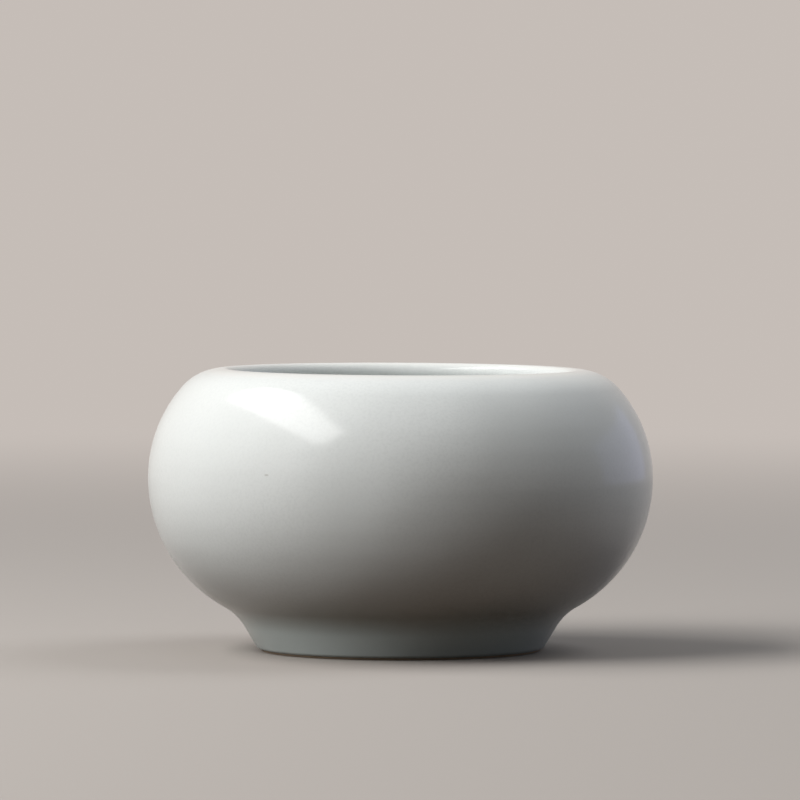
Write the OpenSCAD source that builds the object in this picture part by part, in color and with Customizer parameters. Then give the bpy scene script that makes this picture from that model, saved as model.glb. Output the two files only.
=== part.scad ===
// Water coupe: a squat porcelain pot for a writing desk, with an in-turned mouth and a coved foot ring.
// The outline is a run of tangent arcs, turned about +Z. The table is at z = 0. Sizes are in millimetres.

/* [Body] */
// Width across the belly, outside the glaze
belly_d = 90; // [84:1:110]
// Height of the belly's widest line above the table
belly_z = 30.8; // [28:0.1:34]
// Height of the lip above the table
height = 50.3; // [46:0.1:56]
// Thickness of the thrown clay wall from the belly up
wall = 2.4; // [1.8:0.1:3.6]
// Least thickness of the clay floor, which the wall grows to below the belly
floor_t = 3.2; // [2:0.1:5]

/* [Mouth] */
// Clear width across the mouth
mouth_d = 60; // [50:0.5:66]
// Bearing up from level at which the shoulder's arc passes into the lip's tighter roll, in degrees
roll_start = 41; // [32:1:55]

/* [Foot] */
// Outside width of the foot at the table
foot_d = 50.5; // [44:0.5:56]
// Height at which the foot's outside wall would meet the belly if there were no cove
foot_h = 6.8; // [5.5:0.1:9]
// Width of the foot's rim at the table
rim_w = 3.6; // [2.6:0.1:5]
// Lean of the foot's outside wall from upright, in degrees
foot_lean = 30.5; // [14:0.5:36]
// Lean of the foot's inside wall from upright, in degrees
well_lean = 10; // [0:1:20]
// Radius of the cove between the foot and the belly
cove_r = 10.3; // [5:0.1:14]
// Depth of the hollow under the base, below its glaze
well_depth = 4.6; // [3:0.1:6]
// Bevel on both edges of the rim
rim_bevel = 0.3; // [0.1:0.1:0.6]

/* [Glaze] */
// Thickness of the fired glaze
glaze = 0.35; // [0.2:0.05:0.6]
// Height of the wiped edge that stays bare of glaze
bare_h = 0.6; // [0.6:0.1:1.5]
// Radius of the glaze that gathers in the corner of the hollow under the base
pool_r = 1.2; // [0.5:0.1:2]

/* [Hidden] */
$fn = 180;

// Largest gap between an arc and the chords that draw it
chord_gap = 0.01;

function polar(r, angle) = r * [cos(angle), sin(angle)];
function bearing(v) = atan2(v.y, v.x);
function reverse(points) = [for (i = [len(points) - 1:-1:0]) points[i]];

// Points of an arc from its start up to, but without, its end, where the next stretch of an outline starts
function arc(centre, r, from, to) =
    let (steps = ceil(abs(to - from) / (2 * acos(1 - chord_gap / r))))
    [for (i = [0:steps - 1]) centre + polar(r, from + (to - from) * i / steps)];

// Depths below the outside surface: where the clay starts and ends, and where the hollow starts
clay_out = glaze;
clay_in = glaze + wall;
hollow = 2 * glaze + wall;

// Lip: a round nose as thick as the wall, under a crest that the shoulder rolls into
nose_r = hollow / 2;
nose_c = [mouth_d / 2 + nose_r, height - nose_r];

// Shoulder and roll: two tangent arcs, from upright at the belly's widest line to level at the crest
belly_r = belly_d / 2;
span = belly_r - nose_c.x;
rise = height - belly_z;
turn = polar(1, roll_start);
shoulder_r = (rise * turn.x - span * (1 - turn.y)) / (turn.x + turn.y - 1);
roll_r = (span * turn.y - rise * (1 - turn.x)) / (turn.x + turn.y - 1);
shoulder_c = [belly_r - shoulder_r, belly_z];
roll_c = [nose_c.x, height - roll_r];

// Lower bowl: one arc, upright at the widest line and passing through the top of the foot's wall
foot_r = foot_d / 2;
reach = belly_r - foot_side(0, foot_h).x;
drop = belly_z - foot_h;
bowl_r = (reach ^ 2 + drop ^ 2) / (2 * reach);
bowl_c = [belly_r - bowl_r, belly_z];

// Seat of the foot ring, which is also the clay underside of the bowl, and the top of the clay floor
seat_z = well_depth + glaze;
floor_z = max(seat_z, bowl_c.y - bowl_r + clay_out) + floor_t;

// Inside below the belly: upright at the widest line, and level where it meets the flat floor
inside_r = belly_z - floor_z;
inside_c = [belly_r - clay_in - inside_r, belly_z];

// Foot: a leaning wall, and a cove tangent to that wall and to the lower bowl
rim_in = foot_r - rim_w;
up_wall = [sin(foot_lean), cos(foot_lean)];
off_wall = [cos(foot_lean), -sin(foot_lean)];
cove_low = [foot_r, 0] + cove_r * off_wall;
to_cove = cove_low - bowl_c;
along = to_cove * up_wall;
cove_c = cove_low - up_wall * (along + sqrt(along ^ 2 - to_cove * to_cove + (bowl_r + cove_r) ^ 2));
cove_end = bearing(cove_c - bowl_c);

// Point on the foot's outside wall, a depth below its surface, at a height above the table
function foot_side(depth, z) = [foot_r - depth / cos(foot_lean) + z * tan(foot_lean), z];

// Point on the foot's inside wall, a depth off the clay, at a height above the table
function well_side(depth, z) = [rim_in - depth / cos(well_lean) - z * tan(well_lean), z];

// Point at the top of the lip, a depth below its surface
function crest(depth) = [nose_c.x, height - depth];

// Shoulder and roll at a depth below the outside, from the belly's widest line up to the crest
function shoulder_line(depth) = concat(
    arc(shoulder_c, shoulder_r - depth, 0, roll_start),
    arc(roll_c, roll_r - depth, roll_start, 90)
);

// Outside of the pot at a depth below its surface, from a height on the foot up to the crest
function outer_line(depth, from_z) = concat(
    [foot_side(depth, from_z)],
    arc(cove_c, cove_r + depth, 180 - foot_lean, 180 + cove_end),
    arc(bowl_c, bowl_r - depth, cove_end, 0),
    shoulder_line(depth)
);

// Inside of the pot under a skin of the given thickness, from the middle of the floor up to the crest
function inner_line(skin) = concat(
    [[0, floor_z + skin]],
    arc(inside_c, inside_r - skin, -90, 0),
    shoulder_line(clay_in + skin)
);

// Section of all the clay, with the foot still solid
module clay() {
    polygon(concat(
        [[0, 0], [foot_side(clay_out, 0).x - rim_bevel, 0]],
        outer_line(clay_out, rim_bevel),
        arc(nose_c, wall / 2, 90, 270),
        [crest(clay_in)],
        reverse(inner_line(0))
    ));
}

// Section of everything below the seat of the foot ring
module below_seat() {
    square([belly_r, seat_z]);
}

// Section of the hollow turned out of the foot, run on past the rim and the seat
module foot_well() {
    polygon([
        [0, -rim_bevel],
        [rim_in + 2 * rim_bevel, -rim_bevel],
        well_side(0, rim_bevel),
        well_side(0, 2 * seat_z),
        [0, 2 * seat_z]
    ]);
}

// Thrown bowl: flat underside, belly and shoulder in one wall, ending in a round lip
module bowl() {
    color("#e9e4da") rotate_extrude() difference() {
        clay();
        below_seat();
    }
}

// Turned foot ring, luted to the flat underside of the bowl
module foot_ring() {
    color("#d8c3a8") rotate_extrude() difference() {
        intersection() {
            clay();
            below_seat();
        }
        foot_well();
    }
}

// Glaze on the outside: over the foot's wall, cove, belly and shoulder, up to the crest of the lip
module outer_glaze() {
    color("#dfe6e3") rotate_extrude() polygon(concat(
        outer_line(0, bare_h),
        [crest(0), crest(clay_out)],
        reverse(outer_line(clay_out, bare_h))
    ));
}

// Glaze on the inside: from the crest round the lip's nose, down the wall and over the floor
module inner_glaze() {
    color("#e4eae7") rotate_extrude() polygon(concat(
        arc(nose_c, nose_r, 90, 270),
        [crest(hollow)],
        reverse(inner_line(glaze)),
        inner_line(0),
        arc(nose_c, wall / 2, 270, 90),
        [crest(clay_out)]
    ));
}

// Glaze in the hollow under the base: over the underside, round the corner and down the foot's inside wall
module foot_well_glaze() {
    pool_c = well_side(glaze + pool_r, well_depth - pool_r);
    color("#dbe3e0") rotate_extrude() polygon(concat(
        [[0, seat_z], [0, well_depth]],
        arc(pool_c, pool_r, 90, well_lean),
        [pool_c + polar(pool_r, well_lean), well_side(glaze, bare_h), well_side(0, bare_h), well_side(0, seat_z)]
    ));
}

bowl();
foot_ring();
outer_glaze();
inner_glaze();
foot_well_glaze();
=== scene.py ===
import math
import random

import bpy
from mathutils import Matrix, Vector


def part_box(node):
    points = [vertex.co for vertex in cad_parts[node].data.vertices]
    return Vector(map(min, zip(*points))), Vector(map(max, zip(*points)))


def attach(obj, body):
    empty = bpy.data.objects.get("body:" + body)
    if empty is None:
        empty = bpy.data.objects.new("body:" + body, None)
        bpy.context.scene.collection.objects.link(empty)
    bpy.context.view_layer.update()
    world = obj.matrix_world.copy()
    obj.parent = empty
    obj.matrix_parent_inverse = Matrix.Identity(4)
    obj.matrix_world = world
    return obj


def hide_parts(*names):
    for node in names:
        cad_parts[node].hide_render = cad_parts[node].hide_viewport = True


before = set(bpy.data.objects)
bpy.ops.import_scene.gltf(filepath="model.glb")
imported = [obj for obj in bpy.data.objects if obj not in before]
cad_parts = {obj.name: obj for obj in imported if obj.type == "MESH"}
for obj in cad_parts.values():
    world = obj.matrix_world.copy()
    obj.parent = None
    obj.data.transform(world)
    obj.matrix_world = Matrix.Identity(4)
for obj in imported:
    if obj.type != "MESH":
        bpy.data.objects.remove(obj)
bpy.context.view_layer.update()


# Bowl: the porcelain body, thrown on a wheel in one wall from its flat base to the round lip.
# White clay, matt and chalky. Glaze and the foot ring cover all of it, so it only lends the pot its form.
MM = 0.001
WHEEL_STEPS = 256
ARC_STEP = 2.0
SHARP_EDGE = 35.0
WELD = MM / 1000
belly_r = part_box("outer_glaze")[1].x
crest_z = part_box("outer_glaze")[1].z
glaze_t = crest_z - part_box("bowl")[1].z
seat_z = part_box("foot_ring")[1].z
floor_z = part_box("inner_glaze")[0].z
belly_z = 30.8 * MM
wall_t = 2.4 * MM
mouth_r = 30 * MM
foot_r = 25.25 * MM
foot_h = 6.8 * MM
foot_lean = 30.5
cove_r = 10.3 * MM
roll_start = 41.0
chalk = (0.84, 0.81, 0.75, 1)
chalk_shade = (0.78, 0.75, 0.69, 1)


def polar(radius, degrees):
    angle = math.radians(degrees)
    return Vector((math.cos(angle), math.sin(angle))) * radius


def bearing(way):
    return math.degrees(math.atan2(way.y, way.x))


def arc(centre, radius, start, end):
    """Points of an arc in the section, from its start up to, but without, its end."""
    steps = max(2, math.ceil(abs(end - start) / ARC_STEP))
    return [centre + polar(radius, start + (end - start) * i / steps) for i in range(steps)]


# Lip and shoulder: a round nose, and two tangent arcs from the belly's widest line up to the crest
nose_r = wall_t / 2 + glaze_t
nose = Vector((mouth_r + nose_r, crest_z - nose_r))
span = belly_r - nose.x
rise = crest_z - belly_z
roll_way = polar(1, roll_start)
spread = roll_way.x + roll_way.y - 1
shoulder_r = (rise * roll_way.x - span * (1 - roll_way.y)) / spread
roll_r = (span * roll_way.y - rise * (1 - roll_way.x)) / spread
shoulder = Vector((belly_r - shoulder_r, belly_z))
roll = Vector((nose.x, crest_z - roll_r))

# Lower bowl: one arc from the widest line to the cove, which is tangent to it and to the foot's wall
lean = math.radians(foot_lean)
reach = belly_r - foot_r - foot_h * math.tan(lean)
bowl_r = (reach**2 + (belly_z - foot_h) ** 2) / (2 * reach)
bowl_c = Vector((belly_r - bowl_r, belly_z))
up_wall = Vector((math.sin(lean), math.cos(lean)))
cove_low = Vector((foot_r, 0)) + Vector((math.cos(lean), -math.sin(lean))) * cove_r
to_cove = cove_low - bowl_c
along = to_cove.dot(up_wall)
down_wall = along + math.sqrt(along**2 - to_cove.dot(to_cove) + (bowl_r + cove_r) ** 2)
cove = cove_low - up_wall * down_wall
cove_end = bearing(cove - bowl_c)

# Inside: upright at the widest line and level at the flat floor
inside_r = belly_z - floor_z
inside = Vector((belly_r - glaze_t - wall_t - inside_r, belly_z))


def cove_point(depth, z):
    """Point of the cove at a height, a depth under the pot's surface."""
    return Vector((cove.x - math.sqrt((cove_r + depth) ** 2 - (z - cove.y) ** 2), z))


def cove_bearing(depth, z):
    """Bearing of that point from the cove's centre, in degrees."""
    return bearing(cove_point(depth, z) - cove) % 360


def shoulder_line(depth):
    """Shoulder and roll, a depth under the surface, from the belly's widest line up to the crest."""
    rising = arc(shoulder, shoulder_r - depth, 0, roll_start)
    return rising + arc(roll, roll_r - depth, roll_start, 90)


def belly_line(depth):
    """Lower bowl and shoulder, a depth under the surface, from the cove up to the crest."""
    return arc(bowl_c, bowl_r - depth, cove_end, 0) + shoulder_line(depth)


def inner_line(skin):
    """Inside under a skin on the clay, from the middle of the floor up to the crest."""
    flat_floor = [Vector((0, floor_z + skin)), Vector((inside.x / 2, floor_z + skin))]
    return flat_floor + arc(inside, inside_r - skin, -90, 0) + shoulder_line(glaze_t + wall_t + skin)


def throw(name, section):
    """Extrudes a point along a section and turns it once round the wheel's axis."""
    bpy.ops.object.select_all(action="DESELECT")
    bpy.ops.mesh.primitive_plane_add(size=MM)
    piece = bpy.context.object
    piece.name = piece.data.name = name
    bpy.ops.object.mode_set(mode="EDIT")
    bpy.ops.mesh.select_all(action="SELECT")
    bpy.ops.mesh.merge(type="CENTER")
    bpy.ops.transform.translate(value=(section[0].x, 0, section[0].y))
    on_axis = section[0].x == 0 and section[-1].x == 0
    route = section if on_axis else section + section[:1]
    for here, there in zip(route, route[1:]):
        stretch = there - here
        bpy.ops.mesh.extrude_region_move(TRANSFORM_OT_translate={"value": (stretch.x, 0, stretch.y)})
    bpy.ops.mesh.select_all(action="SELECT")
    bpy.ops.mesh.remove_doubles(threshold=WELD)
    bpy.ops.mesh.spin(steps=WHEEL_STEPS, angle=2 * math.pi, center=(0, 0, 0), axis=(0, 0, 1))
    bpy.ops.mesh.select_all(action="SELECT")
    bpy.ops.mesh.remove_doubles(threshold=WELD)
    bpy.ops.mesh.normals_make_consistent(inside=False)
    bpy.ops.object.mode_set(mode="OBJECT")
    bpy.ops.object.shade_smooth_by_angle(angle=math.radians(SHARP_EDGE))
    return piece


bowl = throw(
    "thrown_bowl",
    [Vector((0, seat_z)), cove_point(glaze_t, seat_z)]
    + arc(cove, cove_r + glaze_t, cove_bearing(glaze_t, seat_z), 180 + cove_end)[1:]
    + belly_line(glaze_t)
    + arc(nose, wall_t / 2, 90, 270)
    + [nose - Vector((0, wall_t / 2))]
    + inner_line(0)[::-1],
)


class Wire:
    """A shader value: sums by plain signs, and any other node by one call."""

    def __init__(self, tree, socket=None):
        self.tree = tree
        self.socket = socket

    def node(self, kind, settings, inputs, output=0):
        """Adds a node with its settings, sets or links its inputs, and gives one of its outputs."""
        made = self.tree.nodes.new("ShaderNode" + kind)
        for name, value in settings.items():
            setattr(made, name, value)
        for key, value in inputs.items():
            if isinstance(value, Wire):
                self.tree.links.new(value.socket, made.inputs[key])
            else:
                made.inputs[key].default_value = value
        return Wire(self.tree, made.outputs[output])

    def sum(self, operation, first, second):
        return self.node("Math", {"operation": operation}, {0: first, 1: second})

    def __add__(self, other):
        return self.sum("ADD", self, other)

    def __radd__(self, other):
        return self.sum("ADD", other, self)

    def __sub__(self, other):
        return self.sum("SUBTRACT", self, other)

    def __rsub__(self, other):
        return self.sum("SUBTRACT", other, self)

    def __mul__(self, other):
        return self.sum("MULTIPLY", self, other)

    def __rmul__(self, other):
        return self.sum("MULTIPLY", other, self)

    def step(self, start, end):
        """Rises smoothly from 0 at the start to 1 at the end."""
        values = {"Value": self, "From Min": start, "From Max": end}
        return self.node("MapRange", {"interpolation_type": "SMOOTHSTEP"}, values)

    def tint(self, low, high):
        """The first colour where this is 0, the second where it is 1."""
        return self.node("Mix", {"data_type": "RGBA"}, {0: self, 6: low, 7: high}, 2)

    def cloud(self, lump, detail=2.0):
        """Soft noise about 0.5, with lumps of the given size in millimetres."""
        return self.node("TexNoise", {}, {"Vector": self, "Scale": 1 / lump, "Detail": detail})

    def bump(self, strength, depth):
        """Normals that stand up by this value times the depth."""
        return self.node("Bump", {}, {"Strength": strength, "Distance": depth, "Height": self})

    def length(self):
        return self.node("VectorMath", {"operation": "LENGTH"}, {0: self}, "Value")


def surface(name, values):
    """A new material: its shader with plain values set, and the place on the piece in millimetres."""
    material = bpy.data.materials.new(name)
    material.use_nodes = True
    tree = material.node_tree
    shader = tree.nodes["Principled BSDF"]
    for key, value in values.items():
        shader.inputs[key].default_value = value
    place = Wire(tree).node("TexCoord", {}, {}, "Object")
    place = place.node("VectorMath", {"operation": "SCALE"}, {0: place, "Scale": 1 / MM})
    return material, shader, place


def feed(node, inputs):
    """Links shader values to a node's inputs."""
    for key, wire in inputs.items():
        wire.tree.links.new(wire.socket, node.inputs[key])


body_clay, shader, place = surface("body_clay", {"Roughness": 0.9, "Specular IOR Level": 0.25})
feed(shader, {
    "Base Color": place.cloud(lump=9).tint(chalk_shade, chalk),
    "Normal": place.cloud(lump=0.5, detail=4.0).bump(strength=0.2, depth=0.02 * MM),
})

# Drying and firing bend the whole pot a little: the lip sits lower on the right, the round is not true.
# A lattice round the pot holds that bend. Its lowest rows stay still, so that the foot stands flat.
TILT = 0.32 * MM
UNEVEN = 0.12 * MM
LATTICE_ROWS = 6
STILL_ROWS = 2
LIP_SHARE = 0.35
random.seed(7)
bpy.ops.object.add(type="LATTICE", location=(0, 0, crest_z / 2))
kiln = bpy.context.object
kiln.scale = (2 * belly_r, 2 * belly_r, crest_z)
kiln.data.points_u = kiln.data.points_v = kiln.data.points_w = LATTICE_ROWS
for point in kiln.data.points:
    row = round((point.co.z + 0.5) * (LATTICE_ROWS - 1))
    if row < STILL_ROWS:
        continue
    inward = Vector((-point.co.x, -point.co.y, 0))
    shift = inward.normalized() * UNEVEN * random.random()
    drop = TILT * (point.co.x + LIP_SHARE) / (2 * LIP_SHARE)
    shift.z = -drop * (row - STILL_ROWS + 1) / (LATTICE_ROWS - STILL_ROWS)
    point.co_deform = point.co + Vector(shift[i] / kiln.scale[i] for i in range(3))


def finish_piece(piece, node, material):
    """Bends a piece with the rest of the pot, gives it its material and puts it in the frame."""
    bpy.ops.object.select_all(action="DESELECT")
    piece.select_set(True)
    bpy.context.view_layer.objects.active = piece
    bpy.ops.object.modifier_add(type="LATTICE")
    piece.modifiers[-1].object = kiln
    bpy.ops.object.modifier_apply(modifier=piece.modifiers[-1].name)
    piece.data.materials.append(material)
    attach(piece, "root")
    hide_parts(node)


finish_piece(bowl, "bowl", body_clay)


# Foot ring: a low coved ring of the same porcelain, turned true on the wheel and luted under the bowl.
# Only its narrow rim is bare: fired biscuit, warm from the kiln, with fine grooves from the turning.
rim_w = 3.6 * MM
well_lean = 10.0
rim_bevel = 0.3 * MM
rim_in = foot_r - rim_w
well_tan = math.tan(math.radians(well_lean))
well_cos = math.cos(math.radians(well_lean))
GROOVES = 5
groove = 0.03 * MM
first_cut = 0.3
second_cut = 0.65
biscuit_pale = (0.70, 0.58, 0.45, 1)
biscuit_dark = (0.60, 0.47, 0.34, 1)
kiln_flash = (0.56, 0.38, 0.24, 1)


def foot_side(depth, z):
    """Point of the foot's outside wall, a depth under its surface."""
    return Vector((foot_r - depth / math.cos(lean) + z * math.tan(lean), z))


def well_side(depth, z):
    """Point of the foot's inside wall, a depth off the clay."""
    return Vector((rim_in - depth / well_cos - z * well_tan, z))


def foot_cove(depth, top):
    """Cove under a height, a depth under the surface, from the foot's wall upward."""
    return arc(cove, cove_r + depth, 180 - foot_lean, cove_bearing(depth, top))


# Each groove has two cuts of uneven depth, as a hand-held blade leaves them
rim_from = well_side(0, 0).x + rim_bevel
rim_to = foot_side(glaze_t, 0).x - rim_bevel
groove_w = (rim_to - rim_from) / GROOVES
turned = []
for i in range(GROOVES):
    first_depth = groove * (0.4 + 0.6 * (i % 2))
    second_depth = groove * (1 - 0.25 * (i % 3))
    turned.append(Vector((rim_from + i * groove_w, 0)))
    turned.append(Vector((rim_from + (i + first_cut) * groove_w, first_depth)))
    turned.append(Vector((rim_from + (i + second_cut) * groove_w, second_depth)))
foot = throw(
    "turned_foot_ring",
    [well_side(0, seat_z), well_side(0, rim_bevel)]
    + turned
    + [Vector((rim_to, 0)), foot_side(glaze_t, rim_bevel)]
    + foot_cove(glaze_t, seat_z)
    + [cove_point(glaze_t, seat_z)],
)


def axis(place, letter):
    return place.node("SeparateXYZ", {}, {0: place}, letter)


def across(place):
    """Distance from the wheel's axis."""
    return place.node("VectorMath", {"operation": "MULTIPLY"}, {0: place, 1: (1, 1, 0)}).length()


biscuit, shader, place = surface("foot_biscuit", {"Specular IOR Level": 0.3})
grain = place.cloud(lump=0.35, detail=5.0)
ring_noise = {"W": across(place), "Scale": 5.0, "Detail": 3.0}
rings = place.node("TexNoise", {"noise_dimensions": "1D"}, ring_noise)
flashed = (axis(place, "Z") + place.cloud(lump=3) * 0.5).step(0.35, 0.95)
warm = place.cloud(lump=6, detail=3.0).tint(biscuit_dark, biscuit_pale)
feed(shader, {
    "Base Color": (flashed * 0.6).tint(warm, kiln_flash),
    "Roughness": 0.75 + 0.2 * grain,
    "Normal": (rings + 0.6 * grain).bump(strength=0.5, depth=0.05 * MM),
})
finish_piece(foot, "foot_ring", biscuit)


# Outer glaze: a clear, faintly green-grey skin fired over the foot's wall, cove, belly and shoulder.
# It ends in a round bead just above the bare rim, where the wet glaze was wiped away.
# On the crest of the lip it meets the inside coat.
bare_h = 0.4 * MM
bead_h = 0.6 * MM
BEAD_STEPS = 8
ripple = 0.012 * MM
ripple_pitch = 3.8 * MM
ripple_low = 11 * MM
ripple_high = 48 * MM
ripple_fade = 6 * MM
ripple_drift = 5 * MM


def ripples(point):
    """Draws a point in by the shallow rings that the thrower's fingers left."""
    above = min(1, max(0, (point.y - ripple_low) / ripple_fade))
    below = min(1, max(0, (ripple_high - point.y) / ripple_fade))
    drift = 1.3 * math.sin(point.y / ripple_drift)
    wave = 0.5 - 0.5 * math.cos(2 * math.pi * point.y / ripple_pitch + drift)
    return point - Vector((ripple * (above * below) * wave, 0))


def bead():
    """Heights up the round edge of a coat, each with the share of the coat's thickness there."""
    shares = [i / BEAD_STEPS for i in range(BEAD_STEPS)]
    return [(bare_h + up * bead_h, math.sqrt(1 - (1 - up) ** 2)) for up in shares]


wiped_edge = [foot_side(glaze_t * (1 - thick), z) for z, thick in bead()]
cove_top = belly_line(0)[0].y
outer_skin = wiped_edge + foot_cove(0, cove_top) + belly_line(0)
clay_face = foot_cove(glaze_t, cove_top) + belly_line(glaze_t)
outer = throw(
    "outer_glaze_coat",
    [ripples(point) for point in outer_skin]
    + [Vector((nose.x, crest_z)), Vector((nose.x, crest_z - glaze_t))]
    + clay_face[::-1],
)

# Colours of the glaze, and where they change, in millimetres on the pot: thin and warm at the crest,
# pooled and greener low down and darker there as painted shade under the belly,
# and one dark speck on the left of the belly
glaze_pale = (0.798, 0.816, 0.80, 1)
glaze_grey = (0.764, 0.783, 0.767, 1)
glaze_grain = (0.748, 0.766, 0.751, 1)
glaze_pooled_shaded = (0.62, 0.70, 0.675, 1)
glaze_thin = (0.87, 0.85, 0.81, 1)
speck_dark = (0.30, 0.27, 0.23, 1)
speck_at = (-23.2, -38.4, 33.15)
speck_squash = (0.7, 0.7, 1.8)
speck_edge = 0.4
speck_core = 0.15
thin_from = crest_z / MM - 1.1
thin_full = crest_z / MM - 0.2
pooled_shade_from = 13
pooled_shade_full = 4
glaze, shader, place = surface(
    "celadon_white_glaze",
    {"Specular IOR Level": 0.05, "Coat Weight": 0.65, "Coat Roughness": 0.14, "Coat IOR": 1.5},
)
height = axis(place, "Z")
thin = height.step(thin_from, thin_full)
pooled_and_shaded = (height + 4 * (place.cloud(lump=9) - 0.5)).step(pooled_shade_from, pooled_shade_full)
off_speck = place.node("VectorMath", {"operation": "SUBTRACT"}, {0: place, 1: speck_at})
off_speck = place.node("VectorMath", {"operation": "MULTIPLY"}, {0: off_speck, 1: speck_squash})
speck = off_speck.length().step(speck_edge, speck_core)
tone = place.cloud(lump=26, detail=1.0).step(0.3, 0.7).tint(glaze_grey, glaze_pale)
tone = place.cloud(lump=0.5, detail=3.0).step(0.35, 0.8).tint(tone, glaze_grain)
# Low down the glaze pools greener, and its darker tone there is painted shade under the belly
tone = (pooled_and_shaded * 0.7).tint(tone, glaze_pooled_shaded)
tone = (thin * 0.6).tint(tone, glaze_thin)
tone = (speck * 0.4).tint(tone, speck_dark)
peel = 0.2 * place.cloud(lump=12, detail=0.0) + 0.01 * place.cloud(lump=2.2, detail=3.0)
feed(shader, {
    "Base Color": tone,
    "Roughness": 0.3 + 0.12 * place.cloud(lump=5, detail=3.0),
    "Normal": peel.bump(strength=1.0, depth=MM),
})
finish_piece(outer, "outer_glaze", glaze)


# Inner glaze: the same glaze, poured inside and drained off, so that it covers wall and floor evenly.
# It runs from the crest round the lip's nose, where it meets the outer coat and reads as one skin with it.
inner = throw(
    "inner_glaze_coat",
    inner_line(0)
    + arc(nose, wall_t / 2, 270, 90)
    + [Vector((nose.x, crest_z - glaze_t))]
    + arc(nose, nose_r, 90, 270)
    + [nose - Vector((0, nose_r))]
    + inner_line(glaze_t)[::-1],
)
finish_piece(inner, "inner_glaze", glaze)


# Foot-well glaze: the same glaze, brushed in the hollow under the base and thicker in its corner.
# It ends in a bead on the foot's inside wall, level with the outer coat's wiped edge.
pool_r = 1.2 * MM
well_depth = seat_z - glaze_t
pool = well_side(glaze_t + pool_r, well_depth - pool_r)
well = throw(
    "foot_well_glaze_coat",
    [Vector((0, seat_z)), well_side(0, seat_z)]
    + [well_side(glaze_t * thick, z) for z, thick in bead()]
    + arc(pool, pool_r, well_lean, 90)
    + [pool + Vector((0, pool_r)), Vector((0, well_depth))],
)
finish_piece(well, "foot_well_glaze", glaze)
bpy.ops.object.select_all(action="DESELECT")
kiln.select_set(True)
bpy.ops.object.delete()


# Stage: a pale warm-grey floor that fades into the same pale grey all round, and a camera just above level.
# A long strip lights the pot from the left and above, with two soft fills and a weak cool panel behind it.
# The floor is clear from below and open under the foot, so that the hollow base can be seen.
pale = (0.56, 0.51, 0.475, 1)
floor_pale = (0.45, 0.41, 0.38, 1)
floor_bounce = (0.062, 0.043, 0.029, 1)
room_bounce = (0.142, 0.149, 0.156, 1)
floor_r = 4
fade_from = 0.15
fade_to = 0.9


def looked_at(tree):
    """1 where the camera or a reflection looks at the stage, 0 where the stage only sends light."""
    rays = ["Is Camera Ray", "Is Glossy Ray", "Is Transmission Ray"]
    camera_ray, mirrored, bent = [Wire(tree).node("LightPath", {}, {}, ray) for ray in rays]
    return camera_ray + (mirrored + bent)


bpy.ops.object.select_all(action="DESELECT")
bpy.ops.mesh.primitive_circle_add(vertices=96, radius=floor_r, fill_type="NGON")
floor = bpy.context.object
floor.name = "floor"
cloth = bpy.data.materials.new("pale_floor")
cloth.use_nodes = True
tree = cloth.node_tree
tree.nodes.remove(tree.nodes["Principled BSDF"])
from_axis = across(Wire(tree).node("TexCoord", {}, {}, "Object"))
seen = looked_at(tree)
far = from_axis.step(fade_from, fade_to)
under = Wire(tree).node("NewGeometry", {}, {}, "Backfacing")
hollow = from_axis.step(rim_to, rim_to - rim_bevel)
lit = seen.node("BsdfDiffuse", {}, {"Color": seen.tint(floor_bounce, floor_pale)})
flat = seen.node("Emission", {}, {"Color": pale})
clear = seen.node("BsdfTransparent", {}, {})
shown = seen.node("MixShader", {}, {0: far * seen, 1: lit, 2: flat})
shown = seen.node("MixShader", {}, {0: under + hollow, 1: shown, 2: clear})
feed(tree.nodes["Material Output"], {"Surface": shown})
floor.data.materials.append(cloth)

room = bpy.data.worlds.new("studio")
bpy.context.scene.world = room
room.use_nodes = True
all_round = looked_at(room.node_tree).tint(room_bounce, pale)
feed(room.node_tree.nodes["Background"], {"Color": all_round})

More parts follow.
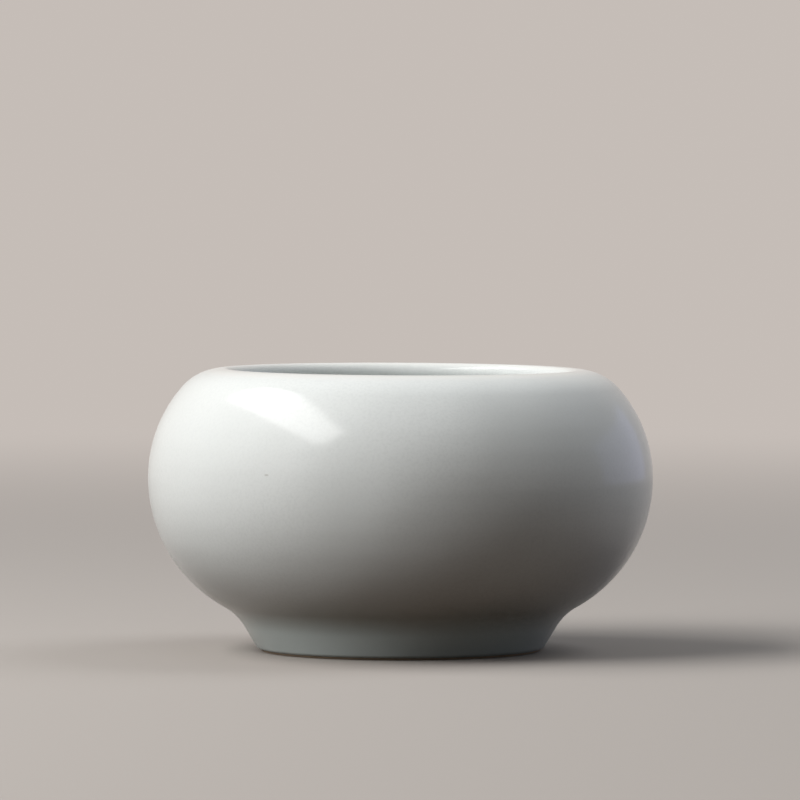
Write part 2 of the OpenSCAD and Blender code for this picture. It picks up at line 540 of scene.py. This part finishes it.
# Lamps: each stands about as far off, and shine says whether the glaze mirrors it
lamp_far = 0.9
pot_middle = Vector((0, 0, 0.03))
daylight = (1, 1, 0.99)
pale_blue = (0.93, 0.97, 1)
deep_blue = (0.42, 0.5, 1)


def panel(name, power, colour, at, turn, wide, deep, shine):
    """A flat lamp that faces down until it is turned, in degrees about each axis."""
    bpy.ops.object.light_add(type="AREA", location=at, rotation=[math.radians(a) for a in turn])
    lamp = bpy.context.object
    lamp.name = name
    lamp.data.shape = "RECTANGLE"
    lamp.data.size = wide
    lamp.data.size_y = deep
    lamp.data.energy = power
    lamp.data.color = colour
    lamp.visible_camera = False
    lamp.visible_glossy = shine


# The strip stands where the left of the shoulder mirrors it to the camera
gleam = Vector((-0.020, -0.036, 0.044))
strip_way = Vector((-0.667, -0.058, 0.743))
strip_lift = 0.07 * Vector((0.743, 0, 0.669))
strip_forward = Vector((0, -0.12, 0))
strip_at = gleam + lamp_far * (strip_way + strip_lift + strip_forward)
panel("window_strip", 6.9, daylight, strip_at, turn=(0, -41.9, 0), wide=0.3, deep=1.2, shine=True)


def facing_pot(name, power, colour, side, climb, wide, deep, shine):
    """A panel that faces the pot, so many degrees round from the camera and up from level."""
    about = math.radians(side)
    up = math.radians(climb)
    way = Vector((math.cos(up) * math.sin(about), -math.cos(up) * math.cos(about), math.sin(up)))
    panel(name, power, colour, pot_middle + lamp_far * way, (90 - climb, 0, side), wide, deep, shine)


facing_pot("left_fill", 4.65, daylight, side=-67, climb=28, wide=0.6, deep=0.55, shine=False)
facing_pot("back_right_fill", 2.5, pale_blue, side=115, climb=50, wide=0.6, deep=0.5, shine=False)
facing_pot("cool_panel", 0.35, deep_blue, side=125, climb=8, wide=0.7, deep=0.36, shine=True)

camera_aim = Vector((-0.0001, 0, 0.0446))
camera_far = 1.3
camera_tip = math.radians(2.3)
bpy.ops.object.camera_add(
    location=camera_aim + camera_far * Vector((0, -math.cos(camera_tip), math.sin(camera_tip))),
    rotation=(math.pi / 2 - camera_tip, 0, 0),
)
camera = bpy.context.object
camera.data.lens = 328.7
camera.data.sensor_width = 36
bpy.context.scene.camera = camera
bpy.context.scene.view_settings.view_transform = "Standard"
